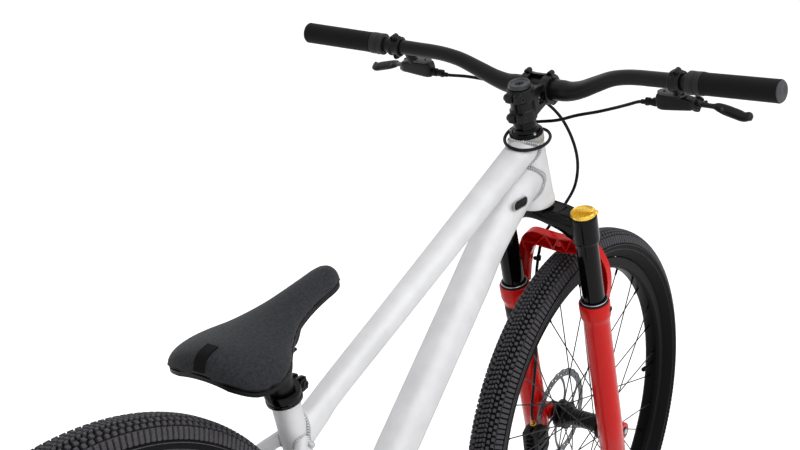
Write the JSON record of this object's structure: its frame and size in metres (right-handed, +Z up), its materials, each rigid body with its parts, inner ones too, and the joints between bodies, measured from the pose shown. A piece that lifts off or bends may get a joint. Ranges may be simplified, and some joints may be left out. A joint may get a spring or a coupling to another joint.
{
  "type": "dirt jump bike",
  "caption": "Hardtail dirt jump bicycle with a bare aluminium frame, a red suspension fork, a wide riser bar, disc brakes and a low slim saddle.",
  "frame": {"origin": "on the ground, midway between the two tyre contacts", "axes": "+X towards the front wheel, +Y to the rider's left, +Z up"},
  "size_m": [1.724, 0.796, 0.9908],
  "materials": {
    "raw_aluminium": "brushed bare aluminium under clear coat",
    "satin_black": "satin black anodised or painted metal",
    "gloss_black": "gloss black paint",
    "gloss_red": "gloss red paint",
    "black_rubber": "soft matt rubber",
    "tyre_rubber": "matt tyre rubber",
    "gold_anodised": "gold anodised, polished",
    "dark_steel": "darkened steel",
    "bright_steel": "brushed stainless steel",
    "saddle_cloth": "woven charcoal cover over foam",
    "moulded_black": "moulded black plastic"
  },
  "bodies": {
    "frame": {"head_tube": "raw_aluminium", "top_tube": "raw_aluminium", "down_tube": "raw_aluminium", "seat_tube": "raw_aluminium", "bottom_bracket_shell": "raw_aluminium", "left_chainstay": "raw_aluminium", "right_chainstay": "raw_aluminium", "left_seatstay": "raw_aluminium", "right_seatstay": "raw_aluminium", "cable_port_cover": "moulded_black", "seat_clamp": "gloss_black", "headset_lower_bearing": "dark_steel", "bottom_bracket_bearings": "satin_black", "rear_axle": "dark_steel", "rear_brake_caliper": "satin_black", "chain": "dark_steel", "rear_brake_hose": "moulded_black"},
    "seatpost": {"seatpost": "satin_black", "saddle_rails": "satin_black", "saddle_base": "moulded_black", "saddle_pad": "saddle_cloth"},
    "steering": {"fork_crown": "gloss_black", "left_stanchion": "gloss_black", "right_stanchion": "gloss_black", "headset_cover": "satin_black", "stem": "satin_black", "stem_faceplate": "satin_black", "top_cap": "satin_black", "handlebar": "satin_black", "left_grip": "black_rubber", "left_grip_collar": "satin_black", "left_brake_master": "satin_black", "right_grip": "black_rubber", "right_grip_collar": "satin_black", "right_brake_master": "satin_black", "front_brake_hose": "moulded_black"},
    "damping_knob": {"damping_knob": "gold_anodised"},
    "left_brake_lever": {"left_brake_lever": "satin_black"},
    "right_brake_lever": {"right_brake_lever": "satin_black"},
    "lowers": {"fork_lowers": "gloss_red", "left_wiper_seal": "black_rubber", "right_wiper_seal": "black_rubber", "front_axle": "dark_steel", "front_brake_caliper": "satin_black"},
    "front_wheel": {"front_tyre": "tyre_rubber", "front_rim": "satin_black", "front_spokes": "satin_black", "front_hub": "satin_black", "front_rotor": "bright_steel"},
    "rear_wheel": {"rear_tyre": "tyre_rubber", "rear_rim": "satin_black", "rear_spokes": "satin_black", "rear_hub": "satin_black", "rear_rotor": "bright_steel"},
    "rear_cog": {"rear_cog": "dark_steel"},
    "cranks": {"left_crank": "satin_black", "right_crank": "satin_black", "chainring": "satin_black"},
    "left_pedal": {"left_pedal": "satin_black"},
    "right_pedal": {"right_pedal": "satin_black"}
  },
  "joints": [
    {"name": "steering_turn", "type": "hinge", "parent": "frame", "child": "steering", "pos_m": [0.48818, 0, 0.31943], "axis": [-0.3437, 0, 0.9391], "range_deg": [-90, 90], "deforming": ["rear_brake_hose"]},
    {"name": "fork_travel", "type": "slide", "parent": "steering", "child": "lowers", "axis": [-0.3437, 0, 0.9391], "range_m": [0, 0.1], "stiffness_N_per_m": 6000, "springref_m": -0.01, "deforming": ["front_brake_hose"]},
    {"name": "front_wheel_spin", "type": "hinge", "parent": "lowers", "child": "front_wheel", "pos_m": [0.528, 0, 0.334], "axis": [0, 1, 0], "continuous": true},
    {"name": "rear_wheel_spin", "type": "hinge", "parent": "frame", "child": "rear_wheel", "pos_m": [-0.528, 0, 0.334], "axis": [0, 1, 0], "continuous": true},
    {"name": "crank_spin", "type": "hinge", "parent": "frame", "child": "cranks", "pos_m": [-0.135, 0, 0.318], "axis": [0, 1, 0], "continuous": true, "deforming": ["chain"]},
    {"name": "rear_cog_spin", "type": "hinge", "parent": "frame", "child": "rear_cog", "pos_m": [-0.528, -0.0435, 0.334], "axis": [0, 1, 0], "continuous": true},
    {"name": "left_pedal_spin", "type": "hinge", "parent": "cranks", "child": "left_pedal", "pos_m": [-0.305, 0.122, 0.318], "axis": [0, 1, 0], "continuous": true},
    {"name": "right_pedal_spin", "type": "hinge", "parent": "cranks", "child": "right_pedal", "pos_m": [0.035, -0.122, 0.318], "axis": [0, 1, 0], "continuous": true},
    {"name": "left_brake_lever_pull", "type": "hinge", "parent": "steering", "child": "left_brake_lever", "pos_m": [0.32734, 0.251, 0.93356], "axis": [0.6067, 0, 0.7949], "range_deg": [0, 18], "stiffness_Nm_per_rad": 0.8, "springref_deg": -5.73},
    {"name": "right_brake_lever_pull", "type": "hinge", "parent": "steering", "child": "right_brake_lever", "pos_m": [0.32734, -0.251, 0.93356], "axis": [-0.6067, 0, -0.7949], "range_deg": [0, 18], "stiffness_Nm_per_rad": 0.8, "springref_deg": -5.73},
    {"name": "damping_knob_turn", "type": "hinge", "parent": "steering", "child": "damping_knob", "pos_m": [0.34455, -0.0735, 0.74392], "axis": [-0.3437, 0, 0.9391], "range_deg": [-90, 45]},
    {"name": "seatpost_slide", "type": "slide", "parent": "frame", "child": "seatpost", "axis": [-0.3289, 0, 0.9444], "range_m": [-0.04, 0.1]}
  ],
  "couplings": [
    {"joint": "rear_cog_spin", "follows": "crank_spin", "ratio": 2.1538}
  ]
}
